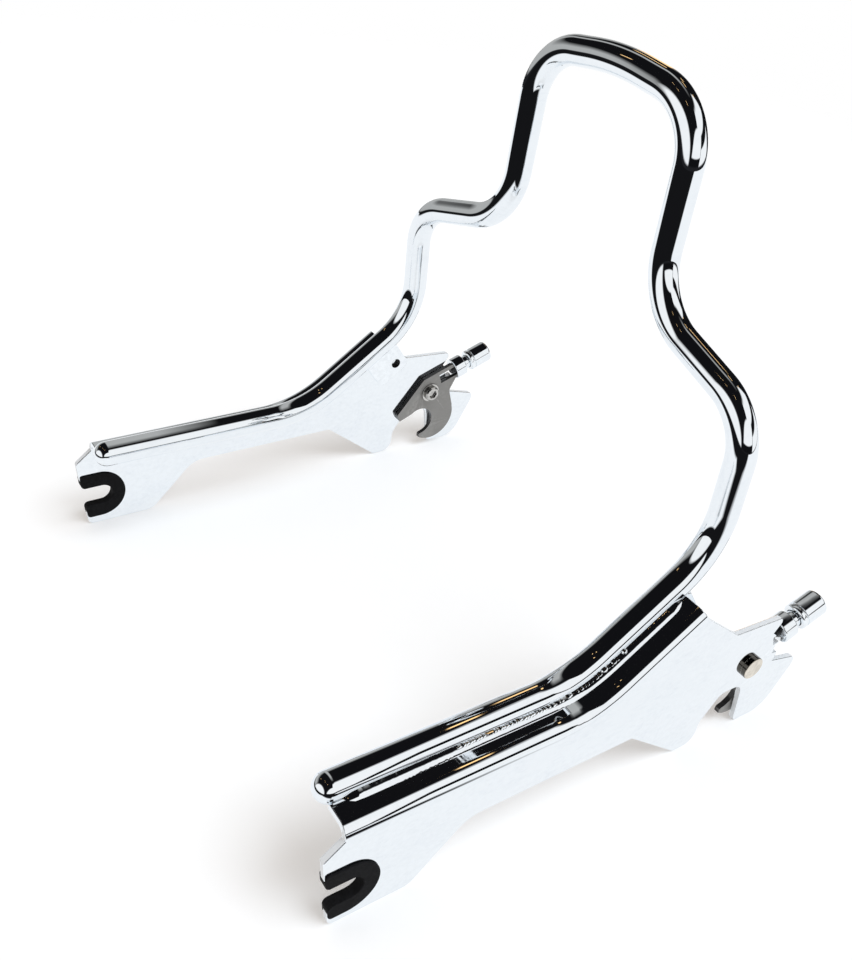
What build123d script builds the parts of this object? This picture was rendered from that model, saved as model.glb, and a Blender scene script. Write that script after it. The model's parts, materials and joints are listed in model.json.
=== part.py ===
"""Detachable sissy bar: a bent round bar welded to two side plates with docking slots and rear latches."""
import math
import os

from build123d import *

os.makedirs("parts", exist_ok=True)

# Millimetres. X runs to the bike's rear, Y to its right, Z up from the floor.
# The right half is drawn, and the left half is its mirror image in the XZ plane.

# Side plates, 3 mm steel, measured over their outer faces
HALF_WIDTH = 136.5
PLATE_T = 3.0
PLATE_IN_Y = HALF_WIDTH - PLATE_T

# Round bar, half an inch, with domed front ends
BAR_D = 12.7
BAR_R = BAR_D / 2
BAR_INSET = 19.0
BAR_Y = HALF_WIDTH - BAR_INSET
RAIL_Z = 53.5
RAIL_FRONT_X = 7.0
RAIL_BEND_X = 119.5
RAIL_BEND_R = 60.0
INCLINE_DEG = 36.0
INCLINE_LEN = 82.0
LOW_BEND_R = 40.0
SHOULDER_X = 183.5
SHOULDER_Z = 165.0
SHOULDER_R = 26.0
LEG_FOOT_X = 188.5
LEG_FOOT_Y = 50.5
LEG_FOOT_Z = 183.0
LEG_FOOT_R = 32.0
LEG_LEN = 80.0
LEG_TOP_X = 190.5
LEG_TOP_Y = 49.0
LEG_TOP_Z = LEG_FOOT_Z + LEG_LEN
LEG_TOP_R = 27.0
CROWN_RISE = 6.0
CROWN_R = 130.0

# Rolled upper edge of a plate, beside the bar
FLANGE_DROP = 1.0
FLANGE_BEND_R = 6.0
FLANGE_FRONT_X = 4.0
FLANGE_LEN = 60.0
FLANGE_REACH = 4.2
WEB_DEPTH = 17.0
WEB_LAP = 10.0
WEB_SETBACK = 4.0

# Outline of a plate, from its front lip round under the belly to the rear lobe and the crest
LIP_X = -4.4
LIP_Z = 39.5
LIP_R = 2.0
TOE_R = 3.0
LAND_X = 35.5
LAND_R = 8.0
BELLY_Z = 25.5
BELLY_X0 = 60.0
BELLY_X1 = 146.0
BELLY_R = 14.0
APEX_R = 3.0
NOSE_X0 = 179.0
NOSE_X1 = 192.0
NOSE_Z = 12.5
NOSE_FRONT_R = 4.0
NOSE_REAR_R = 7.0
MOUTH_X = 201.0
MOUTH_TOP_Z = 26.5
MOUTH_WALL_X = 215.5
MOUTH_FOOT_X = 219.5
MOUTH_FRONT_R = 6.0
MOUTH_REAR_R = 7.5
TIP_R = 2.5
LOBE_X0 = 239.0
LOBE_X1 = 251.5
LOBE_MID_Z = 25.0
LOBE_LOW_R = 13.0
LOBE_SIDE_R = 16.0
LOBE_TOP_R = 3.5
CREST_X = 240.0
CREST_Z = 61.5
CREST_R = 2.5
NECK_X = 196.5
NECK_Z = 64.5
NECK_R = 3.0

# Front docking slot and its bushing
SLOT_X = 8.0
SLOT_Z = 18.2
SLOT_W = 11.2
BUSH_X = 7.0
BUSH_CORE_R = 10.4
BUSH_LIP_R = 13.6
BUSH_LIP_T = 0.9
BUSH_MOUTH_R = 2.4
BUSH_CORNER_R = 2.0

# Rear latch: the hook plate's outline is set out from the pivot, X to the rear and Z up
PIVOT_X = 215.0
PIVOT_Z = 38.5
HOOK_T = 2.6
SHIM_T = 0.5
HOOK_OUT_Y = PLATE_IN_Y - SHIM_T
HOOK_IN_Y = HOOK_OUT_Y - HOOK_T
ARM_DEG = 20.0
CLOSE_DEG = 24.0
ARM_LEN = 20.0
ARM_BACK = 2.1
ARM_TOP = 10.8
ARM_BACK_R = 2.5
ARM_END_R = 1.2
HOOK_WAIST = (14.8, -1.5)
HOOK_WAIST_R = 4.0
HOOK_SIDE = (18.6, -13.0)
HOOK_DISC = (3.5, -18.5)
HOOK_DISC_R = 15.8
HOOK_CHIN = (-20.5, -17.0)
HOOK_CHIN_R = 1.5
HOOK_HEEL = (-22.6, -12.3)
HOOK_HEEL_R = 1.8
HOOK_THROAT = (-6.0, -10.9)
SEAT = (-5.5, -20.2)
SEAT_R = 9.3
HOOK_INNER = (-0.2, -27.8)
HOOK_TIP = (-4.4, -29.8)
HOOK_TIP_R = 0.9

# Pivot hardware
STUD_R = 3.5
STUD_HEAD_R = 5.8
STUD_HEAD_H = 2.6
STUD_EDGE_R = 0.6
PIVOT_FIT = 0.05
END_PLAY = 0.15
SCREW_R = 2.0
SCREW_LEN = 7.0
SCREW_TIP_GAP = 0.5
SCREW_HEAD_R = 4.8
SCREW_HEAD_H = 2.6
SCREW_CHAMFER = 0.9
SOCKET_AF = 5.0
SOCKET_DEPTH = 1.5
WASHER_R = 6.0
WASHER_T = 0.8
WASHER_CLEAR = 0.3
SHIM_R = 7.5

# Locking plunger, set out along the latch arm from the pivot
PLUNGER_RISE = 5.0
PLUNGER_IN = 0.4
PLUNGER_Y = PLATE_IN_Y - PLUNGER_IN
COLLAR_R = 6.5
COLLAR_T = 7.5
COLLAR_CHAMFER = 0.5
COLLAR_END = ARM_LEN + COLLAR_T
SLEEVE_R = 4.0
SLEEVE_LEN = 8.9
SLEEVE_END = COLLAR_END + SLEEVE_LEN
CHAMBER_R = 3.1
CHAMBER_WALL = 1.2
CHAMBER_END = SLEEVE_END - CHAMBER_WALL
NOSE_R = 2.4
NOSE_PROUD = 1.8
NOSE_CHAMFER = 0.4
NOSE_TIP = ARM_LEN - NOSE_PROUD
STEM_R = 1.5
SHOULDER_PLAY = 0.4
SLIDE_FIT = 0.05
SEAT_TRAVEL = 3.2
PULL_TRAVEL = 1.0
KNOB_R = 6.4
KNOB_PLAY = 0.4
KNOB_START = COLLAR_END + SEAT_TRAVEL + KNOB_PLAY
KNOB_LEN = 15.0
KNOB_BORE = 13.0
SKIRT_CLEAR = 0.3
SKIRT_DEPTH = SLEEVE_END + SEAT_TRAVEL + KNOB_PLAY - KNOB_START
KNOB_END_R = 1.4
KNOB_CHAMFER = 0.7
GROOVE_START = 2.2
GROOVE_W = 1.0
GROOVE_DEPTH = 0.5
SPRING_R = 2.35
SPRING_WIRE = 0.7
SPRING_PITCH = 1.6
SPRING_PLAY = 0.1

# Quadrant of the plate that the plunger rides on, with a lock notch at each end of the travel
QUADRANT_GAP = 1.7
QUADRANT_R = ARM_LEN - QUADRANT_GAP
QUADRANT_LOW = -15.0
QUADRANT_HIGH = 58.0
NOTCH_CLEAR = 0.35
WINDOW_START = 9.0
WINDOW_CLEAR = 0.8

# Rack tab under the incline
TAB_END = 64.5
TAB_LEN = 21.5
TAB_DEPTH = 23.5
TAB_T = 4.8
TAB_HOLE_R = 2.6
TAB_HOLE_DROP = 17.0
TAB_HOLE_BACK = 6.5
TAB_CORNER_R = 4.0

# Weld bead in the groove between bar and shelf, and how far cutting shapes run past what they cut
BEAD_R = 1.6
BEAD_LIFT = 0.5
CUT_REACH = 100.0


def on_incline(along, below):
    """A point in the XZ plane, set out along the incline and square below the bar's centreline."""
    a = math.radians(INCLINE_DEG)
    x = RAIL_BEND_X + along * math.cos(a) + below * math.sin(a)
    z = RAIL_Z + along * math.sin(a) - below * math.cos(a)
    return (x, z)


def from_pivot(p):
    """A point in the XZ plane, set out from the latch pivot."""
    return (PIVOT_X + p[0], PIVOT_Z + p[1])


def arm_point(along, rise, turn=0.0):
    """A point in the XZ plane, set out along the latch arm, with the latch closed by that turn."""
    a = math.radians(ARM_DEG - turn)
    x = along * math.cos(a) - rise * math.sin(a)
    z = along * math.sin(a) + rise * math.cos(a)
    return from_pivot((x, z))


def slab(sketch, outer_y, thick):
    """A plate of that thickness whose outer face lies at outer_y."""
    return extrude(Plane.XZ.offset(-outer_y) * sketch, thick)


def rounded(stations):
    """A face from corner points, each with its corner radius."""
    points = [p for p, r in stations]
    return make_face(FilletPolyline(*points, radius=[r for p, r in stations], close=True))


def polygon(points):
    return make_face(Polyline(*points, close=True))


def round_corner(sketch, point, radius):
    """Rounds the corner of a flat shape that lies nearest to a point."""
    corner = sketch.vertices().sort_by_distance((point[0], point[1], 0))[0]
    return fillet(corner, radius)


def pivot_rod(radius, y_from, y_to):
    """A round rod on the latch pivot's axis between two levels."""
    rod = Cylinder(radius, y_to - y_from, align=(Align.CENTER, Align.CENTER, Align.MIN))
    return Pos(PIVOT_X, y_from, PIVOT_Z) * Rot(-90, 0, 0) * rod


def plunger_place(along):
    """The place on the plunger's axis at that distance, with Z along the axis."""
    x, z = arm_point(along, PLUNGER_RISE)
    return Pos(x, PLUNGER_Y, z) * Rot(0, 90 - ARM_DEG, 0)


def plunger_rod(radius, start, end):
    """A round rod on the plunger's axis between two distances."""
    return plunger_place(start) * Cylinder(radius, end - start, align=(Align.CENTER, Align.CENTER, Align.MIN))


def circles_along_x(shape):
    return shape.edges().filter_by(GeomType.CIRCLE).sort_by(Axis.X)


def make_bar():
    """One continuous bar: rail, incline, upright, inward run, leg and crown, then the same down the other side."""
    low_x, low_z = on_incline(INCLINE_LEN, 0)
    half = [
        (RAIL_FRONT_X, BAR_Y, RAIL_Z),
        (RAIL_BEND_X, BAR_Y, RAIL_Z),
        (low_x, BAR_Y, low_z),
        (SHOULDER_X, BAR_Y, SHOULDER_Z),
        (LEG_FOOT_X, LEG_FOOT_Y, LEG_FOOT_Z),
        (LEG_TOP_X, LEG_TOP_Y, LEG_TOP_Z),
    ]
    other = [(x, -y, z) for x, y, z in reversed(half)]
    crown = (LEG_TOP_X, 0, LEG_TOP_Z + CROWN_RISE)
    bends = [RAIL_BEND_R, LOW_BEND_R, SHOULDER_R, LEG_FOOT_R, LEG_TOP_R]
    path = FilletPolyline(*half, crown, *other, radius=bends + [CROWN_R] + bends[::-1])
    bar = sweep(Plane(path @ 0, z_dir=path % 0) * Circle(BAR_R), path)
    for side in (1, -1):
        bar += Pos(RAIL_FRONT_X, side * BAR_Y, RAIL_Z) * Sphere(BAR_R)
    return bar


def along_rail(section, start_x):
    """Sweeps a section along rail and incline. Its X points to the outside, its origin is the bar's centre."""
    end_x, end_z = on_incline(FLANGE_LEN, 0)
    points = [(start_x, BAR_Y, RAIL_Z), (RAIL_BEND_X, BAR_Y, RAIL_Z), (end_x, BAR_Y, end_z)]
    path = FilletPolyline(*points, radius=[RAIL_BEND_R])
    return sweep(Plane(points[0], x_dir=(0, 1, 0), z_dir=(1, 0, 0)) * section, path)


def make_flange():
    """The rolled upper edge: a shelf that butts on the bar, a bend and the start of the web."""
    bend_x = BAR_INSET - FLANGE_BEND_R
    bend_y = -FLANGE_DROP - FLANGE_BEND_R
    shelf = bend_x - FLANGE_REACH
    section = Pos(FLANGE_REACH + shelf / 2, -FLANGE_DROP - PLATE_T / 2) * Rectangle(shelf, PLATE_T)
    bend = Circle(FLANGE_BEND_R) - Circle(FLANGE_BEND_R - PLATE_T)
    quarter = Pos(FLANGE_BEND_R / 2, FLANGE_BEND_R / 2) * Rectangle(FLANGE_BEND_R, FLANGE_BEND_R)
    section += Pos(bend_x, bend_y) * (bend & quarter)
    web = WEB_DEPTH + bend_y
    section += Pos(BAR_INSET - PLATE_T / 2, bend_y - web / 2) * Rectangle(PLATE_T, web)
    return along_rail(section - Circle(BAR_R), FLANGE_FRONT_X)


def plate_outline():
    """The flat of the plate, up to the middle of the web under the rolled edge."""
    tangent = FLANGE_DROP + FLANGE_BEND_R
    turn = math.radians(INCLINE_DEG / 2)
    return rounded([
        ((FLANGE_FRONT_X, RAIL_Z - tangent), 0),
        ((LIP_X, LIP_Z), LIP_R),
        ((0, 0), TOE_R),
        ((LAND_X, 0), LAND_R),
        ((BELLY_X0, BELLY_Z), BELLY_R),
        ((BELLY_X1, BELLY_Z), APEX_R),
        ((NOSE_X0, 0), NOSE_FRONT_R),
        ((NOSE_X1, 0), NOSE_REAR_R),
        ((NOSE_X1, NOSE_Z), NOSE_REAR_R),
        ((MOUTH_X, MOUTH_TOP_Z), MOUTH_FRONT_R),
        ((MOUTH_WALL_X, MOUTH_TOP_Z), MOUTH_REAR_R),
        ((MOUTH_FOOT_X, 0), TIP_R),
        ((LOBE_X0, 0), LOBE_LOW_R),
        ((LOBE_X1, LOBE_MID_Z), LOBE_SIDE_R),
        ((LOBE_X1, PIVOT_Z), 0),
        ((CREST_X, CREST_Z), 0),
        ((NECK_X, NECK_Z), NECK_R),
        (on_incline(FLANGE_LEN, tangent), 0),
        (on_incline(FLANGE_LEN - WEB_SETBACK, WEB_LAP), 0),
        ((RAIL_BEND_X + WEB_LAP * math.tan(turn), RAIL_Z - WEB_LAP), RAIL_BEND_R + WEB_LAP),
        ((FLANGE_FRONT_X + WEB_SETBACK, RAIL_Z - WEB_LAP), 0),
    ])


def u_shape(radius, centre_x):
    """A slot shape open to the front, ending in a half circle."""
    body = Pos(centre_x - CUT_REACH / 2, SLOT_Z) * Rectangle(CUT_REACH, 2 * radius)
    return body + Pos(centre_x, SLOT_Z) * Circle(radius)


def behind_front_edge():
    """Everything behind the plate's sloping front edge."""
    lean = LIP_X / LIP_Z * CUT_REACH
    return polygon([(-lean, -CUT_REACH), (lean, CUT_REACH), (CUT_REACH, CUT_REACH), (CUT_REACH, -CUT_REACH)])


def cut_quadrant(flat):
    """Clears the space that the plunger sweeps behind the pivot, and rounds the two corners that are left."""
    low = math.radians(QUADRANT_LOW)
    high = math.radians(QUADRANT_HIGH)
    rays = [(CUT_REACH * math.cos(a), CUT_REACH * math.sin(a)) for a in (low, (low + high) / 2, high)]
    wedge = polygon([from_pivot(p) for p in [(0, 0)] + rays])
    flat -= wedge - Pos(PIVOT_X, PIVOT_Z) * Circle(QUADRANT_R)
    lobe_reach = LOBE_X1 - PIVOT_X
    flat = round_corner(flat, from_pivot((lobe_reach, lobe_reach * math.tan(low))), LOBE_TOP_R)
    slope = (CREST_Z - NECK_Z) / (CREST_X - NECK_X)
    over_pivot = NECK_Z + slope * (PIVOT_X - NECK_X) - PIVOT_Z
    crest = over_pivot / (math.tan(high) - slope)
    return round_corner(flat, from_pivot((crest, crest * math.tan(high))), CREST_R)


def lock_notch(turn):
    """The seat for the plunger's nose with the latch closed by that turn."""
    half = NOSE_R + NOTCH_CLEAR
    inner = NOSE_TIP - SEAT_TRAVEL - NOTCH_CLEAR
    outer = ARM_LEN
    corners = [(inner, -half), (outer, -half), (outer, half), (inner, half)]
    return polygon([arm_point(s, PLUNGER_RISE + t, turn) for s, t in corners])


def make_plate():
    flat = cut_quadrant(plate_outline() - u_shape(BUSH_CORE_R, BUSH_X))
    flat -= lock_notch(0)
    flat -= lock_notch(CLOSE_DEG)
    flat -= Pos(PIVOT_X, PIVOT_Z) * Circle(STUD_R + PIVOT_FIT)
    return slab(flat, HALF_WIDTH, PLATE_T) + make_flange()


def make_bead():
    """The weld bead in the groove between bar and shelf."""
    reach = math.sqrt(BAR_R ** 2 - FLANGE_DROP ** 2)
    section = Pos(reach + BEAD_LIFT, BEAD_LIFT - FLANGE_DROP) * Circle(BEAD_R)
    section -= Circle(BAR_R)
    section -= Pos(reach, -FLANGE_DROP - BAR_R) * Rectangle(BAR_D, BAR_D)
    return along_rail(section, RAIL_FRONT_X + BEAD_R)


def make_tab(bar):
    """A drilled tab welded under the bar at the rear of the incline."""
    start = TAB_END - TAB_LEN
    face = rounded([
        (on_incline(start, 0), 0),
        (on_incline(start, TAB_DEPTH), TAB_CORNER_R),
        (on_incline(TAB_END, TAB_DEPTH), TAB_CORNER_R),
        (on_incline(TAB_END, 0), 0),
    ])
    face -= Pos(*on_incline(TAB_END - TAB_HOLE_BACK, TAB_HOLE_DROP)) * Circle(TAB_HOLE_R)
    return slab(face, BAR_Y + TAB_T / 2, TAB_T) - bar


def front_edges(bush, height, count):
    """The bushing's front edges, those nearest to that height above and below the slot's middle."""
    front = [e for e in bush.edges().filter_by(Axis.Y) if e.center().X < SLOT_X - SLOT_W / 2]
    return sorted(front, key=lambda e: abs(abs(e.center().Z - SLOT_Z) - height))[:count]


def make_bushing():
    """A U with a core as thick as the plate and a lip over each face."""
    slot = u_shape(SLOT_W / 2, SLOT_X)
    core = (u_shape(BUSH_CORE_R, BUSH_X) & behind_front_edge()) - slot
    lip = (u_shape(BUSH_LIP_R, BUSH_X) & behind_front_edge()) - slot
    bush = slab(core, HALF_WIDTH, PLATE_T)
    bush += slab(lip, HALF_WIDTH + BUSH_LIP_T, BUSH_LIP_T)
    bush += slab(lip, PLATE_IN_Y, BUSH_LIP_T)
    bush = fillet(front_edges(bush, SLOT_W / 2, 2), BUSH_MOUTH_R)
    return fillet(front_edges(bush, BUSH_LIP_R, 4), BUSH_CORNER_R)


def make_hook():
    """The latch plate: an arm for the plunger, a pivot bore and a hook that swings under the docking post."""
    outline = rounded([
        (arm_point(-ARM_BACK, ARM_TOP), ARM_BACK_R),
        (arm_point(ARM_LEN, ARM_TOP), ARM_END_R),
        (arm_point(ARM_LEN, 0), ARM_END_R),
        (from_pivot(HOOK_WAIST), HOOK_WAIST_R),
        (from_pivot(HOOK_SIDE), 0),
        (from_pivot(HOOK_DISC), 0),
        (from_pivot(HOOK_CHIN), HOOK_CHIN_R),
        (from_pivot(HOOK_HEEL), HOOK_HEEL_R),
    ])
    outline += Pos(*from_pivot(HOOK_DISC)) * Circle(HOOK_DISC_R)
    slope = (HOOK_THROAT[1] - HOOK_CHIN[1]) / (HOOK_THROAT[0] - HOOK_CHIN[0])
    gap = [
        HOOK_THROAT,
        (HOOK_THROAT[0] - CUT_REACH, HOOK_THROAT[1] - CUT_REACH * slope),
        (HOOK_THROAT[0] - CUT_REACH, HOOK_THROAT[1] - CUT_REACH),
        (HOOK_TIP[0], HOOK_THROAT[1] - CUT_REACH),
        HOOK_TIP,
        HOOK_INNER,
        SEAT,
    ]
    outline -= polygon([from_pivot(p) for p in gap])
    outline -= Pos(*from_pivot(SEAT)) * Circle(SEAT_R)
    outline = round_corner(outline, from_pivot(HOOK_TIP), HOOK_TIP_R)
    outline -= Pos(PIVOT_X, PIVOT_Z) * Circle(STUD_R + PIVOT_FIT)
    half = NOSE_R + WINDOW_CLEAR
    end = ARM_LEN + ARM_END_R
    window = [(WINDOW_START, -half), (end, -half), (end, half), (WINDOW_START, half)]
    outline -= polygon([arm_point(s, PLUNGER_RISE + t) for s, t in window])
    return slab(outline, HOOK_OUT_Y, HOOK_T)


def make_stud():
    """Flat head outside, shank through plate and hook, tapped from the inner end."""
    end = HOOK_IN_Y - END_PLAY
    head = pivot_rod(STUD_HEAD_R, HALF_WIDTH, HALF_WIDTH + STUD_HEAD_H)
    head = fillet(head.edges().filter_by(GeomType.CIRCLE).sort_by(Axis.Y)[-1], STUD_EDGE_R)
    stud = head + pivot_rod(STUD_R, end, HALF_WIDTH)
    return stud - pivot_rod(SCREW_R, end, end + SCREW_LEN)


def make_washer():
    face = HOOK_IN_Y - END_PLAY
    return pivot_rod(WASHER_R, face - WASHER_T, face) - pivot_rod(SCREW_R + WASHER_CLEAR, face - WASHER_T, face)


def make_shim():
    ring = pivot_rod(SHIM_R, HOOK_OUT_Y, PLATE_IN_Y)
    return ring - pivot_rod(STUD_R + PIVOT_FIT, HOOK_OUT_Y, PLATE_IN_Y)


def make_screw():
    """A socket screw whose head holds the washer and whose shank fills the stud's bore."""
    seat = HOOK_IN_Y - END_PLAY - WASHER_T
    top = seat - SCREW_HEAD_H
    head = pivot_rod(SCREW_HEAD_R, top, seat)
    head = chamfer(head.edges().filter_by(GeomType.CIRCLE).sort_by(Axis.Y)[0], SCREW_CHAMFER)
    hexagon = Pos(PIVOT_X, PIVOT_Z) * RegularPolygon(SOCKET_AF / 2, 6, major_radius=False)
    head -= slab(hexagon, top + SOCKET_DEPTH, SOCKET_DEPTH)
    return head + pivot_rod(SCREW_R, seat, seat + WASHER_T + SCREW_LEN - SCREW_TIP_GAP)


def make_sleeve():
    """Flanged sleeve at the end of the latch arm, hollow for the spring."""
    collar = plunger_rod(COLLAR_R, ARM_LEN, COLLAR_END)
    collar = chamfer(collar.edges().filter_by(GeomType.CIRCLE), COLLAR_CHAMFER)
    sleeve = collar + plunger_rod(SLEEVE_R, COLLAR_END, SLEEVE_END)
    sleeve -= plunger_rod(NOSE_R + SLIDE_FIT, ARM_LEN, COLLAR_END + SHOULDER_PLAY)
    sleeve -= plunger_rod(CHAMBER_R, COLLAR_END + SHOULDER_PLAY, CHAMBER_END)
    return sleeve - plunger_rod(STEM_R + SLIDE_FIT, CHAMBER_END, SLEEVE_END)


def make_pin():
    """A thick nose that locks in the plate, and a thin stem through the spring into the knob."""
    shoulder = COLLAR_END + SHOULDER_PLAY
    nose = plunger_rod(NOSE_R, NOSE_TIP, shoulder)
    nose = chamfer(circles_along_x(nose)[0], NOSE_CHAMFER)
    return nose + plunger_rod(STEM_R, shoulder, KNOB_START + KNOB_BORE)


def make_spring():
    """A flat-wire spring between the pin's shoulder and the end of its chamber."""
    half = SPRING_WIRE / 2
    start = COLLAR_END + SHOULDER_PLAY + PULL_TRAVEL + SPRING_PLAY + half
    coil = Helix(SPRING_PITCH, CHAMBER_END - SPRING_PLAY - half - start, SPRING_R)
    section = Plane(coil @ 0, x_dir=(1, 0, 0), z_dir=coil % 0) * Rectangle(SPRING_WIRE, SPRING_WIRE)
    return plunger_place(start) * sweep(section, coil, is_frenet=True)


def make_knob():
    """The pull knob: a grooved barrel pressed on the pin's stem, with a skirt that slides over the sleeve."""
    knob = plunger_rod(KNOB_R, KNOB_START, KNOB_START + KNOB_LEN)
    knob = fillet(circles_along_x(knob)[-1], KNOB_END_R)
    knob = chamfer(circles_along_x(knob)[0], KNOB_CHAMFER)
    groove = KNOB_START + GROOVE_START
    core = plunger_rod(KNOB_R - GROOVE_DEPTH, groove, groove + GROOVE_W)
    knob -= plunger_rod(KNOB_R, groove, groove + GROOVE_W) - core
    knob -= plunger_rod(SLEEVE_R + SKIRT_CLEAR, KNOB_START, KNOB_START + SKIRT_DEPTH)
    return knob - plunger_rod(STEM_R, KNOB_START, KNOB_START + KNOB_BORE)


def mirrored(shape):
    return mirror(shape, about=Plane.XZ)


def main():
    bar = make_bar()
    pairs = {
        "side_plate": make_plate(),
        "weld_bead": make_bead(),
        "rack_tab": make_tab(bar),
        "slot_bushing": make_bushing(),
        "latch_hook": make_hook(),
        "plunger_sleeve": make_sleeve(),
        "plunger_pin": make_pin(),
        "plunger_spring": make_spring(),
        "pull_knob": make_knob(),
    }
    groups = {
        "pivot_studs": make_stud(),
        "pivot_screws": make_screw(),
        "pivot_washers": make_washer(),
        "latch_shims": make_shim(),
    }
    nodes = {"hoop_bar": bar}
    for name, shape in pairs.items():
        nodes[name + "_right"] = shape
        nodes[name + "_left"] = mirrored(shape)
    for name, shape in groups.items():
        nodes[name] = Compound(children=shape.solids() + mirrored(shape).solids())

    # The frame's origin is the middle of the whole box, on the floor.
    boxes = [shape.bounding_box() for shape in nodes.values()]
    middle = (min(b.min.X for b in boxes) + max(b.max.X for b in boxes)) / 2
    floor = min(b.min.Z for b in boxes)
    print("shift", round(-middle, 4), round(-floor, 4))
    for name, shape in nodes.items():
        export_step(Pos(-middle, 0, -floor) * shape, "parts/" + name + ".step")


main()
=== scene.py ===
"""Detachable sissy bar: a bent chrome bar on two chrome side plates, with rubber slot bushings and rear latches."""
import json
import math

import bmesh
import bpy
from mathutils import Matrix, Vector


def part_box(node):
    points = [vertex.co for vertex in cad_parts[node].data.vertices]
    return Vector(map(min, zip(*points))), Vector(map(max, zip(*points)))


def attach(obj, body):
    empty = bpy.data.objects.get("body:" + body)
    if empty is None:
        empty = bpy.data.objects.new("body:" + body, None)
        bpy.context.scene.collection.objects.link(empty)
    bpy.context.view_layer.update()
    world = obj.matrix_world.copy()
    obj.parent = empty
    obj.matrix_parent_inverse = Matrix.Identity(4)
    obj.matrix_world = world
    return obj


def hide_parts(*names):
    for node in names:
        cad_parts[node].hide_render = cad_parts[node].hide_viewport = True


bl_info = {
    "name": "Sissy bar finish",
    "version": (1, 0, 0),
    "blender": (4, 5, 0),
    "location": "View3D > Sidebar > Sissy bar",
    "description": "Finishes the packed sissy bar in chrome, weld ripples, rubber and latch steel",
    "category": "Object",
}

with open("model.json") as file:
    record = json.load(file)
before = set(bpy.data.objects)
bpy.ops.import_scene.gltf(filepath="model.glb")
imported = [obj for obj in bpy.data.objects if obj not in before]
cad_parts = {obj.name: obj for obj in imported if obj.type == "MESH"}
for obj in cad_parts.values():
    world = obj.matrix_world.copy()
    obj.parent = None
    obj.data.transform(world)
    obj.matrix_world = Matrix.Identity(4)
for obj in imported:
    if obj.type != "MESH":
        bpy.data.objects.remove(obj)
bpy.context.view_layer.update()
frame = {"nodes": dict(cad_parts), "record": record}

SIDES = {"left": -1, "right": 1}
PLATE_THICK = 0.003

# Routes are in millimetres, X from the plates' front corner. The bar's dome ends 0.65 mm behind that corner.
DOME_SETBACK = 0.00065
FRONT_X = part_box("hoop_bar")[0].x - DOME_SETBACK
BAR_Y = 117.5
RAIL_Z = 53.5
DOME_X = 7.0
DOME_STEPS = 8
POLE_SWELL = 1e-6
POLE_MERGE = 1e-6
RAIL_X = 7.4
RAIL_BEND_X = 119.5
RAIL_BEND = 60.0
INCLINE = math.radians(36.0)
INCLINE_RUN = 82.0
INCLINE_BEND = 40.0
LEG_ROUTE = [
    ((183.5, BAR_Y, 165.0), 26.0),
    ((188.5, 50.5, 183.0), 32.0),
    ((190.5, 49.0, 263.0), 27.0),
]
CROWN = ((190.5, 0.0, 268.9), 130.0)

# The weld bead: X or run up the incline of its end stations, each with its swell
BEAD_Y = 123.5
BEAD_LAY = [(9.0, 0.5), (13.0, 0.95), (17.0, 1.0)]
BEAD_RISE = [(50.0, 1.0), (55.0, 0.95), (59.0, 0.5)]
BEAD_FACETS = 20
BEAD_START = math.radians(-110)
BEAD_SWEEP = math.radians(95)

# The weld ripples, from an X on the rail to a run up the incline
RIPPLE_Y = 124.27
RIPPLE_Z = 53.0
RIPPLE_X = 58.0
RIPPLE_RUN = 26.0
RIPPLE_SEED = 4
RIPPLE_DRIFT = 0.35
RIPPLE_LENGTH = 0.95
LENS_SEGMENTS = 14
LENS_RINGS = 9

# Rounded copies: points that are one, facets that are one flat, how far large faces rule the normals, and the shares
# of the plates' and the turned parts' rounding that the tabs and the pins have
SAME_POINT = 2e-6
FLAT_ANGLE = math.radians(0.35)
FLAT_WEIGHT = 80
TAB_SHARE = 0.4
PIN_SHARE = 0.6

# The thread of a drilled hole in painted shade: the radius where it fades in, its turns in radians per metre, its two
# colours, a painted dark root and a painted lighter crest
THREAD_FADE = (0.0029, 0.0027)
THREAD_TURNS = 7800.0
THREAD_ROOT = (0.012, 0.011, 0.01, 1)
THREAD_CREST = (0.05, 0.047, 0.043, 1)

# The camera: the photograph's size and focal length in pixels, its sensor and place in millimetres, and its angles
PHOTO_SIZE = (852, 960)
FOCAL = 1027.0
SENSOR_WIDTH = 36.0
CAMERA_AT = (-123.8, -320.5, 351.3)
CAMERA_BEARING = math.radians(37.43)
CAMERA_DOWN = math.radians(33.89)
CAMERA_TIP = math.radians(7.86)

# The light
WHITE = (1, 1, 1, 1)
EVEN_LIGHT = (0.60, 0.555, 0.515, 1)
SUN_ANGLE = math.radians(42)
SUN_ENERGY = 1.85
SUN_COLOUR = (0.82, 0.91, 1.0)
SUN_DIRECTION = (-0.3, 0.45, -0.85)

# The floor, and where polished metal starts to see it dark: in front, and beside the near plate's front
FLOOR_RADIUS = 1.6
FLOOR_DROP = 0.0003
FLOOR_RIM = (0.7, 1.4)
FLOOR_GLOW = 0.2
FLOOR_SHINE = 0.72
FLOOR_SHINE_COLOUR = (0.97, 0.985, 1.0, 1)
FLOOR_DARK = (0.008, 0.008, 0.009, 1)
DARK_FRONT_X = (-0.28, -0.34)
DARK_BESIDE_X = (0.05, -0.02)
DARK_BESIDE_Y = (-0.2, -0.24)

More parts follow.
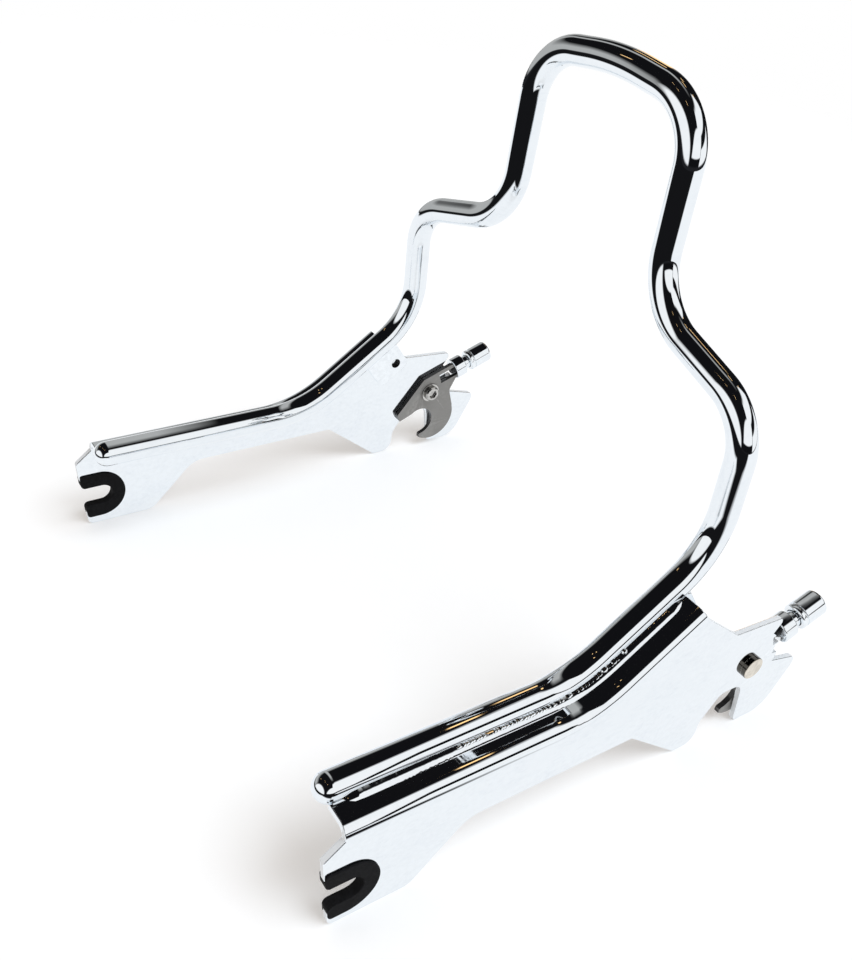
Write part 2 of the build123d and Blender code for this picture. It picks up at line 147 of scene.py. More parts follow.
# The room that polished metal sees, by the X, Y and Z of the direction to it.
# A slant is a range of X, and the range of Y or Z that goes with it.
ROOM_DARK = (0.006, 0.006, 0.007, 1)
ROOM_PALE = (0.46, 0.46, 0.45, 1)
ROOM_BELOW = (0.015, 0.015, 0.017, 1)
WALL_SLANT = (0.05, 0.26, -0.78, -0.1)
WALL_BLUR = 0.015
WALL_TOP_Z = (0.87, 0.81)
WALL_FRONT_X = (-0.78, -0.84)
SEAM_SLANT = (0.36, 0.42, -0.03, 0.34)
SEAM_EDGE = (0.1, 0.13)
PALE_START_X = (0.14, 0.2)
PALE_END_X = (0.338, 0.285)
PALE_Y = (-0.25, 0.3)
LOW_WALL_Y = (0.5, 0.7)
LOW_WALL_Z = (0.45, 0.22)
HORIZON_Z = (-0.06, -0.1)

# Warm lamps in that room: the X and Y of the direction to each, and its half width in both
LAMP_GLOW = (1.5, 0.95, 0.42, 1)
LAMP_CORE = 0.7
ROOM_LAMPS = [
    (0.515, 0.60, 0.026, 0.06),
    (0.463, 0.10, 0.018, 0.08),
    (0.60, 0.25, 0.02, 0.05),
    (0.75, 0.64, 0.03, 0.05),
    (-0.44, 0.65, 0.02, 0.03),
    (-0.36, 0.20, 0.006, 0.05),
    (-0.42, 0.05, 0.006, 0.05),
    (-0.33, -0.30, 0.008, 0.06),
    (0.66, -0.10, 0.02, 0.05),
]


def at(x, y, z):
    """A point in the frame, from millimetres behind the plates' front corner."""
    return Vector((FRONT_X + x / 1000, y / 1000, z / 1000))


def up_incline(x, y, z, run):
    """A point in the frame, a run of millimetres up the incline from another."""
    return at(x + run * math.cos(INCLINE), y, z + run * math.sin(INCLINE))


# Settings


class BarSettings(bpy.types.PropertyGroup):
    """Sizes of the bent bar and of its weld."""

    diameter: bpy.props.FloatProperty(
        name="Bar diameter", description="Outside diameter of the round bar", default=0.0127, min=0.01, max=0.0127,
        unit="LENGTH", precision=4)
    facets: bpy.props.IntProperty(
        name="Bar facets", description="Faces round the bar", default=56, min=12, max=128)
    bend_steps: bpy.props.IntProperty(
        name="Bend steps", description="Rings in each bend of the bar", default=28, min=4, max=64)
    bead_radius: bpy.props.FloatProperty(
        name="Bead radius", description="Radius of the weld bead's face", default=0.0042, min=0.003, max=0.005,
        unit="LENGTH", precision=4)
    bead_drop: bpy.props.FloatProperty(
        name="Bead drop", description="How far the centre of the bead is below the bar's", default=0.0032, min=0.002,
        max=0.004, unit="LENGTH", precision=4)
    ripple_pitch: bpy.props.FloatProperty(
        name="Ripple pitch", description="Distance from one weld ripple to the next", default=0.0016, min=0.001,
        max=0.004, unit="LENGTH", precision=4)
    ripple_height: bpy.props.FloatProperty(
        name="Ripple height", description="Radius of a weld ripple across the run", default=0.0016, min=0.0014,
        max=0.0022, unit="LENGTH", precision=5)


class EdgeSettings(bpy.types.PropertyGroup):
    """How far the edges of stamped, moulded and turned pieces are rounded."""

    plate: bpy.props.FloatProperty(
        name="Plate edges", description="Rounding of the polished plate edges", default=0.0011, min=0.0, max=0.0014,
        unit="LENGTH", precision=5)
    hook: bpy.props.FloatProperty(
        name="Hook edges", description="Rounding of the stamped latch hooks", default=0.00035, min=0.0, max=0.001,
        unit="LENGTH", precision=5)
    rubber: bpy.props.FloatProperty(
        name="Bushing edges", description="Rounding of the moulded bushings", default=0.0004, min=0.0, max=0.001,
        unit="LENGTH", precision=5)
    turned: bpy.props.FloatProperty(
        name="Turned edges", description="Rounding of the small turned parts", default=0.00018, min=0.0, max=0.0005,
        unit="LENGTH", precision=5)


class FinishSettings(bpy.types.PropertyGroup):
    """Colours of the finishes and of the stage."""

    chrome: bpy.props.FloatVectorProperty(
        name="Chrome", description="Polished chrome plating", default=(0.86, 0.895, 0.925), size=3, min=0.0, max=1.0,
        subtype="COLOR")
    chrome_shade: bpy.props.FloatVectorProperty(
        name="Chrome haze", description="Plating where it is a little hazy", default=(0.82, 0.858, 0.896), size=3,
        min=0.0, max=1.0, subtype="COLOR")
    hook: bpy.props.FloatVectorProperty(
        name="Latch steel", description="Satin grey face of the latch hooks", default=(0.25, 0.245, 0.235), size=3,
        min=0.0, max=1.0, subtype="COLOR")
    # Painted shade: the near-black colour given to the hooks' edge faces.
    hook_edge_shade: bpy.props.FloatVectorProperty(
        name="Latch edge", description="Cut edge of the latch hooks", default=(0.03, 0.03, 0.031), size=3, min=0.0,
        max=1.0, subtype="COLOR")
    rubber: bpy.props.FloatVectorProperty(
        name="Rubber", description="Black rubber of the slot bushings", default=(0.005, 0.005, 0.0055), size=3,
        min=0.0, max=1.0, subtype="COLOR")
    stud: bpy.props.FloatVectorProperty(
        name="Pivot steel", description="Warm bright steel of the pivot studs", default=(0.80, 0.74, 0.64), size=3,
        min=0.0, max=1.0, subtype="COLOR")
    screw: bpy.props.FloatVectorProperty(
        name="Screw steel", description="Grey steel of the pivot screws, washers and shims", default=(0.58, 0.57, 0.55),
        size=3, min=0.0, max=1.0, subtype="COLOR")
    pin: bpy.props.FloatVectorProperty(
        name="Pin steel", description="Dark steel of the plunger pins", default=(0.05, 0.05, 0.052), size=3, min=0.0,
        max=1.0, subtype="COLOR")
    coil: bpy.props.FloatVectorProperty(
        name="Coil steel", description="Drawn steel of the plunger springs", default=(0.4, 0.4, 0.39), size=3, min=0.0,
        max=1.0, subtype="COLOR")
    floor: bpy.props.FloatVectorProperty(
        name="Floor", description="Pale floor sheet", default=(0.86, 0.86, 0.86), size=3, min=0.0, max=1.0,
        subtype="COLOR")


class SissyBarSettings(bpy.types.PropertyGroup):
    """Everything that a user would change."""

    bar: bpy.props.PointerProperty(type=BarSettings)
    edges: bpy.props.PointerProperty(type=EdgeSettings)
    finish: bpy.props.PointerProperty(type=FinishSettings)


# Node helpers


def add(tree, kind, inputs=None, **settings):
    """Adds a node, sets its properties, and sets or links its inputs."""
    node = tree.nodes.new(kind)
    for key, value in settings.items():
        setattr(node, key, value)
    for key, value in (inputs or {}).items():
        if isinstance(value, bpy.types.NodeSocket):
            tree.links.new(value, node.inputs[key])
        else:
            node.inputs[key].default_value = value
    return node


def math_node(tree, operation, a, b=0.0, c=0.0):
    """One step of arithmetic on numbers or sockets."""
    node = add(tree, "ShaderNodeMath", {0: a, 1: b, 2: c}, operation=operation)
    return node.outputs["Value"]


def ramp(tree, value, low, high, to_low=0.0, to_high=1.0):
    """A value brought from one range to another, and held there."""
    node = add(tree, "ShaderNodeMapRange", {
        "Value": value, "From Min": low, "From Max": high, "To Min": to_low, "To Max": to_high})
    return node.outputs["Result"]


def mix_colour(tree, factor, a, b):
    """Colour a where the factor is 0, colour b where it is 1."""
    node = add(tree, "ShaderNodeMix", {0: factor, 6: a, 7: b}, data_type="RGBA")
    return node.outputs[2]


def rgba(colour, gain=1.0):
    """A colour as a socket takes it, made lighter or darker by a gain."""
    return (colour[0] * gain, colour[1] * gain, colour[2] * gain, 1.0)


def object_point(tree, stretch=(1.0, 1.0, 1.0)):
    """The surface point in the piece's own coordinates, stretched for a grain."""
    coordinate = add(tree, "ShaderNodeTexCoord").outputs["Object"]
    return add(tree, "ShaderNodeMapping", {"Vector": coordinate, "Scale": stretch}).outputs["Vector"]


def facing_aside(tree):
    """How squarely the surface faces left or right, from 0 to 1."""
    normal = add(tree, "ShaderNodeTexCoord").outputs["Normal"]
    across = add(tree, "ShaderNodeSeparateXYZ", {"Vector": normal}).outputs["Y"]
    return math_node(tree, "ABSOLUTE", across)


def new_group(name, inputs, outputs):
    """A shader node group with named sockets, given as (name, socket kind, default)."""
    tree = bpy.data.node_groups.new(name, "ShaderNodeTree")
    for label, kind, default in inputs:
        socket = tree.interface.new_socket(name=label, in_out="INPUT", socket_type="NodeSocket" + kind)
        socket.default_value = default
    for label, kind in outputs:
        tree.interface.new_socket(name=label, in_out="OUTPUT", socket_type="NodeSocket" + kind)
    return tree, tree.nodes.new("NodeGroupInput").outputs, tree.nodes.new("NodeGroupOutput").inputs


def plating_haze():
    """Faint haze and wiped smears of polished plating: a colour and a roughness."""
    if "plating_haze" in bpy.data.node_groups:
        return bpy.data.node_groups["plating_haze"]
    tree, given, result = new_group(
        "plating_haze",
        [("Clear colour", "Color", (1, 1, 1, 1)), ("Hazy colour", "Color", (0.8, 0.8, 0.8, 1)),
         ("Scale", "Float", 60.0), ("Clear roughness", "Float", 0.03), ("Hazy roughness", "Float", 0.09)],
        [("Color", "Color"), ("Roughness", "Float")])
    point = object_point(tree)
    cloud = add(tree, "ShaderNodeTexNoise", {
        "Vector": point, "Scale": given["Scale"], "Detail": 5.0, "Roughness": 0.55})
    smear_point = object_point(tree, (1.0, 3.0, 2.2))
    smear = add(tree, "ShaderNodeTexNoise", {
        "Vector": smear_point, "Scale": math_node(tree, "MULTIPLY", given["Scale"], 2.6), "Detail": 3.0,
        "Distortion": 1.2})
    both = math_node(tree, "MULTIPLY", cloud.outputs["Fac"], smear.outputs["Fac"])
    mask = ramp(tree, both, 0.2, 0.42)
    rough = add(tree, "ShaderNodeMapRange", {
        "Value": mask, "To Min": given["Clear roughness"], "To Max": given["Hazy roughness"]})
    tree.links.new(mix_colour(tree, mask, given["Clear colour"], given["Hazy colour"]), result["Color"])
    tree.links.new(rough.outputs["Result"], result["Roughness"])
    return tree


def plating_waves():
    """The slow waves of a hand-polished surface, with a little fine tooth: a height."""
    if "plating_waves" in bpy.data.node_groups:
        return bpy.data.node_groups["plating_waves"]
    tree, given, result = new_group(
        "plating_waves", [("Wave scale", "Float", 70.0), ("Tooth", "Float", 0.04)], [("Height", "Float")])
    point = object_point(tree)
    wave = add(tree, "ShaderNodeTexNoise", {"Vector": point, "Scale": given["Wave scale"], "Detail": 1.0})
    tooth = add(tree, "ShaderNodeTexNoise", {"Vector": point, "Scale": 2600.0, "Detail": 2.0})
    fine = math_node(tree, "MULTIPLY", tooth.outputs["Fac"], given["Tooth"])
    tree.links.new(math_node(tree, "ADD", wave.outputs["Fac"], fine), result["Height"])
    return tree


def edge_rub():
    """Where handling has rubbed the edges, broken up so that it isn't an even line: a mask."""
    if "edge_rub" in bpy.data.node_groups:
        return bpy.data.node_groups["edge_rub"]
    tree, given, result = new_group(
        "edge_rub", [("Start", "Float", 0.505), ("End", "Float", 0.56), ("Break scale", "Float", 500.0)],
        [("Mask", "Float")])
    geometry = add(tree, "ShaderNodeNewGeometry")
    edge = add(tree, "ShaderNodeMapRange", {
        "Value": geometry.outputs["Pointiness"], "From Min": given["Start"], "From Max": given["End"]})
    breaks = add(tree, "ShaderNodeTexNoise", {
        "Vector": object_point(tree), "Scale": given["Break scale"], "Detail": 4.0})
    patchy = ramp(tree, breaks.outputs["Fac"], 0.38, 0.62)
    tree.links.new(math_node(tree, "MULTIPLY", edge.outputs["Result"], patchy), result["Mask"])
    return tree


def fine_grain():
    """Fine grain of a tumbled or moulded surface: a height and a mask."""
    if "fine_grain" in bpy.data.node_groups:
        return bpy.data.node_groups["fine_grain"]
    tree, given, result = new_group(
        "fine_grain", [("Grain scale", "Float", 2500.0), ("Patch scale", "Float", 180.0)],
        [("Height", "Float"), ("Mask", "Float")])
    point = object_point(tree)
    grain = add(tree, "ShaderNodeTexNoise", {
        "Vector": point, "Scale": given["Grain scale"], "Detail": 3.0, "Roughness": 0.6})
    patch = add(tree, "ShaderNodeTexNoise", {
        "Vector": point, "Scale": given["Patch scale"], "Detail": 5.0, "Roughness": 0.65})
    tree.links.new(grain.outputs["Fac"], result["Height"])
    tree.links.new(ramp(tree, patch.outputs["Fac"], 0.35, 0.68), result["Mask"])
    return tree


def place_group(tree, group, **values):
    """Places a shader node group in a material, with its own values."""
    node = add(tree, "ShaderNodeGroup", node_tree=group)
    for key, value in values.items():
        socket = node.inputs[key.replace("_", " ").capitalize()]
        if isinstance(value, bpy.types.NodeSocket):
            tree.links.new(value, socket)
        else:
            socket.default_value = value
    return node.outputs


def new_material(name, metallic=0.0):
    """A new material, with its node tree and the inputs of its shader."""
    material = bpy.data.materials.new(name)
    material.use_nodes = True
    shader = material.node_tree.nodes["Principled BSDF"]
    shader.inputs["Metallic"].default_value = metallic
    return material, material.node_tree, shader.inputs


def bump(tree, height, distance, strength=1.0):
    """A normal tilted by a height."""
    node = add(tree, "ShaderNodeBump", {"Height": height, "Distance": distance, "Strength": strength})
    return node.outputs["Normal"]


# Finishes


def thread_shade(tree, hole):
    """The thread of a drilled hole, left unplated, with painted shade darkening the hole and painted shading on the
    thread's root and crest: a mask and its colour.
    """
    spot = add(tree, "ShaderNodeSeparateXYZ", {"Vector": object_point(tree)}).outputs
    across = math_node(tree, "SUBTRACT", spot["X"], hole[0])
    above = math_node(tree, "SUBTRACT", spot["Z"], hole[2])
    square = math_node(tree, "MULTIPLY_ADD", across, across, math_node(tree, "MULTIPLY", above, above))
    mask = ramp(tree, math_node(tree, "SQRT", square), *THREAD_FADE)
    # Painted shading: the sine of the turns stripes a darker root and a lighter crest.
    turns = math_node(tree, "SINE", math_node(tree, "MULTIPLY", spot["Y"], THREAD_TURNS))
    return mask, mix_colour(tree, ramp(tree, turns, -1.0, 1.0), THREAD_ROOT, THREAD_CREST)


def cut_edge(tree, inner):
    """The cut edge round a plate, beyond its inner face and not on its faces or its rolled flange: a mask."""
    spot = add(tree, "ShaderNodeSeparateXYZ", {"Vector": object_point(tree)}).outputs["Y"]
    beyond = ramp(tree, math_node(tree, "ABSOLUTE", spot), inner, inner + 0.0002)
    return math_node(tree, "MULTIPLY", ramp(tree, facing_aside(tree), 0.16, 0.08), beyond)


def chrome(name, wave_scale=60.0, wave_depth=0.00002, clear=0.012, hazy=0.045, tooth=0.004, hole=None, inner=None):
    """Polished plating with faint haze, waves and rubbed edges, with painted shade in a drilled hole and duller on a
    cut edge.
    """
    if name in bpy.data.materials:
        return bpy.data.materials[name]
    colours = bpy.context.scene.sissy_bar.finish
    material, tree, sockets = new_material(name, metallic=1.0)
    haze = place_group(tree, plating_haze(), clear_colour=rgba(colours.chrome), hazy_colour=rgba(colours.chrome_shade),
                       clear_roughness=clear, hazy_roughness=hazy)
    rub = place_group(tree, edge_rub())
    colour = mix_colour(tree, rub["Mask"], haze["Color"], rgba(colours.chrome, 1.06))
    rough = haze["Roughness"]
    if hole is not None:
        # Painted shade: the drilled hole's thread is darkened, with its root and crest striped as painted shading.
        thread, dark = thread_shade(tree, hole)
        colour = mix_colour(tree, thread, colour, dark)
        rough = math_node(tree, "MULTIPLY_ADD", thread, 0.5, rough)
    if inner is not None:
        cut = cut_edge(tree, inner)
        rough = math_node(tree, "MULTIPLY_ADD", cut, 0.36, rough)
        tree.links.new(math_node(tree, "MULTIPLY_ADD", cut, -0.9, 1.0), sockets["Metallic"])
    tree.links.new(colour, sockets["Base Color"])
    tree.links.new(rough, sockets["Roughness"])
    waves = place_group(tree, plating_waves(), wave_scale=wave_scale, tooth=tooth)
    tree.links.new(bump(tree, waves["Height"], wave_depth), sockets["Normal"])
    return material


def latch_steel():
    """Satin zinc on the hook's faces; its cut edges are smoother and carry painted shade, a near-black colour."""
    if "satin_latch" in bpy.data.materials:
        return bpy.data.materials["satin_latch"]
    colours = bpy.context.scene.sissy_bar.finish
    material, tree, sockets = new_material("satin_latch", metallic=0.4)
    face = ramp(tree, facing_aside(tree), 0.55, 0.9)
    grain = place_group(tree, fine_grain(), grain_scale=2200.0, patch_scale=140.0)
    patched = mix_colour(tree, grain["Mask"], rgba(colours.hook), rgba(colours.hook, 0.9))
    speckled = mix_colour(tree, ramp(tree, grain["Height"], 0.3, 0.75), patched, rgba(colours.hook, 1.08))
    # Painted shade: edges that do not face left or right get the near-black edge colour.
    plain = mix_colour(tree, face, rgba(colours.hook_edge_shade), speckled)
    rub = place_group(tree, edge_rub(), start=0.54, end=0.64)
    tree.links.new(mix_colour(tree, rub["Mask"], plain, rgba(colours.hook, 1.3)), sockets["Base Color"])
    satin = ramp(tree, grain["Mask"], 0.0, 1.0, 0.42, 0.52)
    rough = add(tree, "ShaderNodeMapRange", {"Value": face, "To Min": 0.24, "To Max": satin})
    tree.links.new(rough.outputs["Result"], sockets["Roughness"])
    tree.links.new(bump(tree, grain["Height"], 0.00002), sockets["Normal"])
    return material


def slot_rubber():
    """Black moulded rubber with a fine matt grain and paler rubbed edges."""
    if "slot_rubber" in bpy.data.materials:
        return bpy.data.materials["slot_rubber"]
    colours = bpy.context.scene.sissy_bar.finish
    material, tree, sockets = new_material("slot_rubber")
    grain = place_group(tree, fine_grain(), grain_scale=3200.0, patch_scale=260.0)
    body = mix_colour(tree, grain["Mask"], rgba(colours.rubber), rgba(colours.rubber, 1.9))
    rub = place_group(tree, edge_rub(), start=0.505, end=0.58, break_scale=900.0)
    tree.links.new(mix_colour(tree, rub["Mask"], body, rgba(colours.rubber, 3.2)), sockets["Base Color"])
    tree.links.new(ramp(tree, grain["Mask"], 0.0, 1.0, 0.62, 0.8), sockets["Roughness"])
    tree.links.new(bump(tree, grain["Height"], 0.00005, 0.8), sockets["Normal"])
    sockets["Specular IOR Level"].default_value = 0.06
    return material


def plain_steel(name, colour, clear, rough, grain_scale=1800.0, turned=1.0):
    """Small steel parts with a drawn or oxidised grain, and with painted shade darkening their turned sides."""
    if name in bpy.data.materials:
        return bpy.data.materials[name]
    material, tree, sockets = new_material(name, metallic=1.0)
    grain = place_group(tree, fine_grain(), grain_scale=grain_scale, patch_scale=320.0)
    body = mix_colour(tree, grain["Mask"], rgba(colour), rgba(colour, 0.7))
    rub = place_group(tree, edge_rub(), start=0.505, end=0.57, break_scale=1200.0)
    rubbed = mix_colour(tree, rub["Mask"], body, rgba(colour, 1.25))
    # Painted shade: sides that do not face left or right get the colour times the turned factor.
    face = ramp(tree, facing_aside(tree), 0.5, 0.85)
    tree.links.new(mix_colour(tree, face, rgba(colour, turned), rubbed), sockets["Base Color"])
    tree.links.new(ramp(tree, grain["Mask"], 0.0, 1.0, clear, rough), sockets["Roughness"])
    tree.links.new(bump(tree, grain["Height"], 0.00001), sockets["Normal"])
    return material


# Geometry helpers


def new_tree(name, inputs):
    """A Geometry Nodes tree with a curve or mesh input, the given named inputs and one output."""
    tree = bpy.data.node_groups.new(name, "GeometryNodeTree")
    tree.interface.new_socket(name="Geometry", in_out="INPUT", socket_type="NodeSocketGeometry")
    for label, kind in inputs:
        tree.interface.new_socket(name=label, in_out="INPUT", socket_type="NodeSocket" + kind)
    tree.interface.new_socket(name="Geometry", in_out="OUTPUT", socket_type="NodeSocketGeometry")
    return tree, tree.nodes.new("NodeGroupInput").outputs, tree.nodes.new("NodeGroupOutput").inputs


def grow(name, route, tree, values):
    """Runs a tree on a route and gives its result as a plain mesh object at the origin."""
    piece = bpy.data.objects.new(name, route)
    bpy.context.scene.collection.objects.link(piece)
    modifier = piece.modifiers.new("grow", "NODES")
    modifier.node_group = tree
    for item in tree.interface.items_tree:
        if item.in_out == "INPUT" and item.name in values:
            modifier[item.identifier] = values[item.name]
    graph = bpy.context.evaluated_depsgraph_get()
    mesh = bpy.data.meshes.new_from_object(piece.evaluated_get(graph), depsgraph=graph)
    piece.modifiers.remove(modifier)
    piece.data = mesh
    mesh.name = name
    if not mesh.polygons:
        raise RuntimeError(name + " came out empty")
    return piece


def route_mesh(name, stations):
    """A chain of points, each with its bend radius and its swell, as a route for a tree."""
    mesh = bpy.data.meshes.new(name)
    chain = [(i, i + 1) for i in range(len(stations) - 1)]
    mesh.from_pydata([point for point, bend, swell in stations], chain, [])
    for label, column in (("bend_radius", 1), ("swell", 2)):
        values = mesh.attributes.new(label, "FLOAT", "POINT")
        values.data.foreach_set("value", [station[column] for station in stations])
    return mesh


def bent_curve(tree, given):
    """Nodes that turn a route into a curve with its corners bent to their radius."""
    radius = add(tree, "GeometryNodeInputNamedAttribute", {"Name": "bend_radius"}, data_type="FLOAT")
    curve = add(tree, "GeometryNodeMeshToCurve", {"Mesh": given["Geometry"]})
    bent = add(tree, "GeometryNodeFilletCurve", {
        "Curve": curve.outputs["Curve"], "Count": given["Bend steps"], "Radius": radius.outputs["Attribute"]},
        mode="POLY")
    return bent.outputs["Curve"]


def finish_tree(tree, geometry, given, result):
    """The end of a tree: realised, smooth, and in the given material."""
    real = add(tree, "GeometryNodeRealizeInstances", {"Geometry": geometry})
    smooth = add(tree, "GeometryNodeSetShadeSmooth", {"Geometry": real.outputs["Geometry"]})
    painted = add(tree, "GeometryNodeSetMaterial", {
        "Geometry": smooth.outputs["Geometry"], "Material": given["Material"]})
    tree.links.new(painted.outputs["Geometry"], result["Geometry"])


def sweep(tree, curve, profile, caps):
    """Nodes that sweep a profile along a curve, thinned by the route's swell."""
    swell = add(tree, "GeometryNodeInputNamedAttribute", {"Name": "swell"}, data_type="FLOAT")
    swept = add(tree, "GeometryNodeCurveToMesh", {
        "Curve": curve, "Profile Curve": profile, "Scale": swell.outputs["Attribute"], "Fill Caps": caps})
    return swept.outputs["Mesh"]


def bar_tree():
    """A round bar swept along its route. The swell thins it to a dome at its ends."""
    tree, given, result = new_tree(
        "bent_bar", [("Diameter", "Float"), ("Facets", "Int"), ("Bend steps", "Int"), ("Material", "Material")])
    half = math_node(tree, "MULTIPLY", given["Diameter"], 0.5)
    ring = add(tree, "GeometryNodeCurvePrimitiveCircle", {
        "Resolution": given["Facets"], "Radius": half}, mode="RADIUS")
    swept = sweep(tree, bent_curve(tree, given), ring.outputs["Curve"], caps=False)
    closed = add(tree, "GeometryNodeMergeByDistance", {"Geometry": swept, "Distance": POLE_MERGE})
    finish_tree(tree, closed.outputs["Geometry"], given, result)
    return tree


def bead_tree():
    """A weld bead swept along its route: a round face on a wedge that is sunk in the metal. The swell thins it."""
    tree, given, result = new_tree(
        "weld_bead", [("Radius", "Float"), ("Facets", "Int"), ("Bend steps", "Int"), ("Material", "Material")])
    level = add(tree, "GeometryNodeSetCurveNormal", {"Curve": bent_curve(tree, given)}, mode="Z_UP")
    wedge = add(tree, "GeometryNodeCurveArc", {
        "Resolution": given["Facets"], "Radius": given["Radius"], "Start Angle": BEAD_START,
        "Sweep Angle": BEAD_SWEEP, "Connect Center": True}, mode="RADIUS")
    finish_tree(tree, sweep(tree, level.outputs["Curve"], wedge.outputs["Curve"], caps=True), given, result)
    return tree


def ripple_tree():
    """Weld ripples: small overlapping lenses along a route, each a little different."""
    tree, given, result = new_tree(
        "weld_ripples", [("Pitch", "Float"), ("Height", "Float"), ("Bend steps", "Int"), ("Seed", "Int"),
                         ("Material", "Material")])
    points = add(tree, "GeometryNodeCurveToPoints", {
        "Curve": bent_curve(tree, given), "Length": given["Pitch"]}, mode="LENGTH")
    drift = add(tree, "FunctionNodeRandomValue", {
        0: (-1.0, -0.2, -0.2), 1: (1.0, 0.2, 0.2), "Seed": given["Seed"]}, data_type="FLOAT_VECTOR")
    shift = add(tree, "ShaderNodeVectorMath", {
        0: drift.outputs["Value"], "Scale": math_node(tree, "MULTIPLY", given["Pitch"], RIPPLE_DRIFT)},
        operation="SCALE")
    strewn = add(tree, "GeometryNodeSetPosition", {
        "Geometry": points.outputs["Points"], "Offset": shift.outputs["Vector"]})
    lens = add(tree, "GeometryNodeMeshUVSphere", {"Segments": LENS_SEGMENTS, "Rings": LENS_RINGS, "Radius": 1.0})
    size = add(tree, "ShaderNodeCombineXYZ", {
        "X": given["Height"], "Y": given["Height"],
        "Z": math_node(tree, "MULTIPLY", given["Pitch"], RIPPLE_LENGTH)})
    spread = add(tree, "FunctionNodeRandomValue", {
        0: (0.9, 0.9, 0.9), 1: (1.06, 1.06, 1.9), "Seed": given["Seed"]}, data_type="FLOAT_VECTOR")
    scale = add(tree, "ShaderNodeVectorMath", {0: size.outputs["Vector"], 1: spread.outputs["Value"]},
                operation="MULTIPLY")
    run = add(tree, "GeometryNodeInstanceOnPoints", {
        "Points": strewn.outputs["Geometry"], "Instance": lens.outputs["Mesh"],
        "Rotation": points.outputs["Rotation"], "Scale": scale.outputs["Vector"]})
    finish_tree(tree, run.outputs["Instances"], given, result)
    return tree


def rounded_copy(node, name, width, steps=2, sharp=32.0):
    """A copy of a CAD node with its sharp edges rounded and its flats kept flat."""
    mesh = frame["nodes"][node].data.copy()
    if "custom_normal" in mesh.attributes:
        mesh.attributes.remove(mesh.attributes["custom_normal"])
    shape = bmesh.new()
    shape.from_mesh(mesh)
    bmesh.ops.remove_doubles(shape, verts=shape.verts, dist=SAME_POINT)
    bmesh.ops.dissolve_limit(shape, angle_limit=FLAT_ANGLE, verts=shape.verts, edges=shape.edges)
    edges = [e for e in shape.edges if e.is_manifold and e.calc_face_angle(0.0) > math.radians(sharp)]
    if width > 0.0:
        bmesh.ops.bevel(shape, geom=edges, offset=width, offset_type="OFFSET", segments=steps, profile=0.5,
                        affect="EDGES", clamp_overlap=True)
    for face in shape.faces:
        face.smooth = True
    mesh.clear_geometry()
    shape.to_mesh(mesh)
    shape.free()
    mesh.name = name
    mesh.materials.clear()
    piece = bpy.data.objects.new(name, mesh)
    bpy.context.scene.collection.objects.link(piece)
    even = piece.modifiers.new("flats", "WEIGHTED_NORMAL")
    even.weight = FLAT_WEIGHT
    graph = bpy.context.evaluated_depsgraph_get()
    finished = bpy.data.meshes.new_from_object(piece.evaluated_get(graph), depsgraph=graph)
    piece.modifiers.remove(even)
    piece.data = finished
    return piece


def dress(piece, material, body, slot, *nodes):
    """Gives a piece its material, and says which body carries it and which CAD nodes it stands for."""
    piece.data.materials.clear()
    piece.data.materials.append(material)
    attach(piece, body)
    if nodes:
        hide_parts(*nodes)


def dress_node(node, material):
    """Gives a CAD node that stays a better material."""
    materials = frame["nodes"][node].data.materials
    materials.clear()
    materials.append(material)


# Stage


def lay_floor(colour):
    """A wide pale sheet that keeps the shadow. Polished metal sees it white, but dark in front and beside the front."""
    shape = bmesh.new()
    bmesh.ops.create_circle(shape, cap_ends=True, segments=96, radius=FLOOR_RADIUS)
    mesh = bpy.data.meshes.new("studio_floor")
    shape.to_mesh(mesh)
    shape.free()
    mesh.transform(Matrix.Translation((0, 0, -FLOOR_DROP)))
    floor = bpy.data.objects.new("studio_floor", mesh)
    bpy.context.scene.collection.objects.link(floor)
    material = bpy.data.materials.new("floor_sheet")
    material.use_nodes = True
    tree = material.node_tree
    tree.nodes.clear()
    path = add(tree, "ShaderNodeLightPath").outputs
    point = object_point(tree)
    fibre = add(tree, "ShaderNodeTexNoise", {"Vector": point, "Scale": 900.0, "Detail": 3.0})
    sheet = mix_colour(tree, ramp(tree, fibre.outputs["Fac"], 0.3, 0.7), rgba(colour), rgba(colour, 0.985))
    seen = math_node(tree, "MAXIMUM", path["Is Camera Ray"], path["Is Glossy Ray"])
    paper = add(tree, "ShaderNodeBsdfDiffuse", {"Color": sheet})
    glow = add(tree, "ShaderNodeEmission", {
        "Color": WHITE, "Strength": math_node(tree, "MULTIPLY", seen, FLOOR_GLOW)})
    lit = add(tree, "ShaderNodeAddShader", {0: paper.outputs[0], 1: glow.outputs[0]})
    white = add(tree, "ShaderNodeEmission", {"Color": FLOOR_SHINE_COLOUR, "Strength": 1.0})
    near = add(tree, "ShaderNodeMixShader", {
        0: math_node(tree, "MULTIPLY", path["Is Glossy Ray"], FLOOR_SHINE), 1: lit.outputs[0], 2: white.outputs[0]})
    spot = add(tree, "ShaderNodeSeparateXYZ", {"Vector": point}).outputs
    beside = math_node(
        tree, "MULTIPLY", ramp(tree, spot["Y"], *DARK_BESIDE_Y), ramp(tree, spot["X"], *DARK_BESIDE_X))
    away = math_node(tree, "MAXIMUM", ramp(tree, spot["X"], *DARK_FRONT_X), beside)
    room = add(tree, "ShaderNodeEmission", {"Color": FLOOR_DARK, "Strength": 1.0})
    shown = add(tree, "ShaderNodeMixShader", {
        0: math_node(tree, "MULTIPLY", away, path["Is Glossy Ray"]), 1: near.outputs[0], 2: room.outputs[0]})
    distance = add(tree, "ShaderNodeVectorMath", {0: point}, operation="LENGTH").outputs["Value"]
    rim = math_node(tree, "MULTIPLY", ramp(tree, distance, *FLOOR_RIM), path["Is Camera Ray"])
    clear = add(tree, "ShaderNodeBsdfTransparent")
    faded = add(tree, "ShaderNodeMixShader", {0: rim, 1: shown.outputs[0], 2: clear.outputs[0]})
    add(tree, "ShaderNodeOutputMaterial", {"Surface": faded.outputs[0]})
    mesh.materials.append(material)


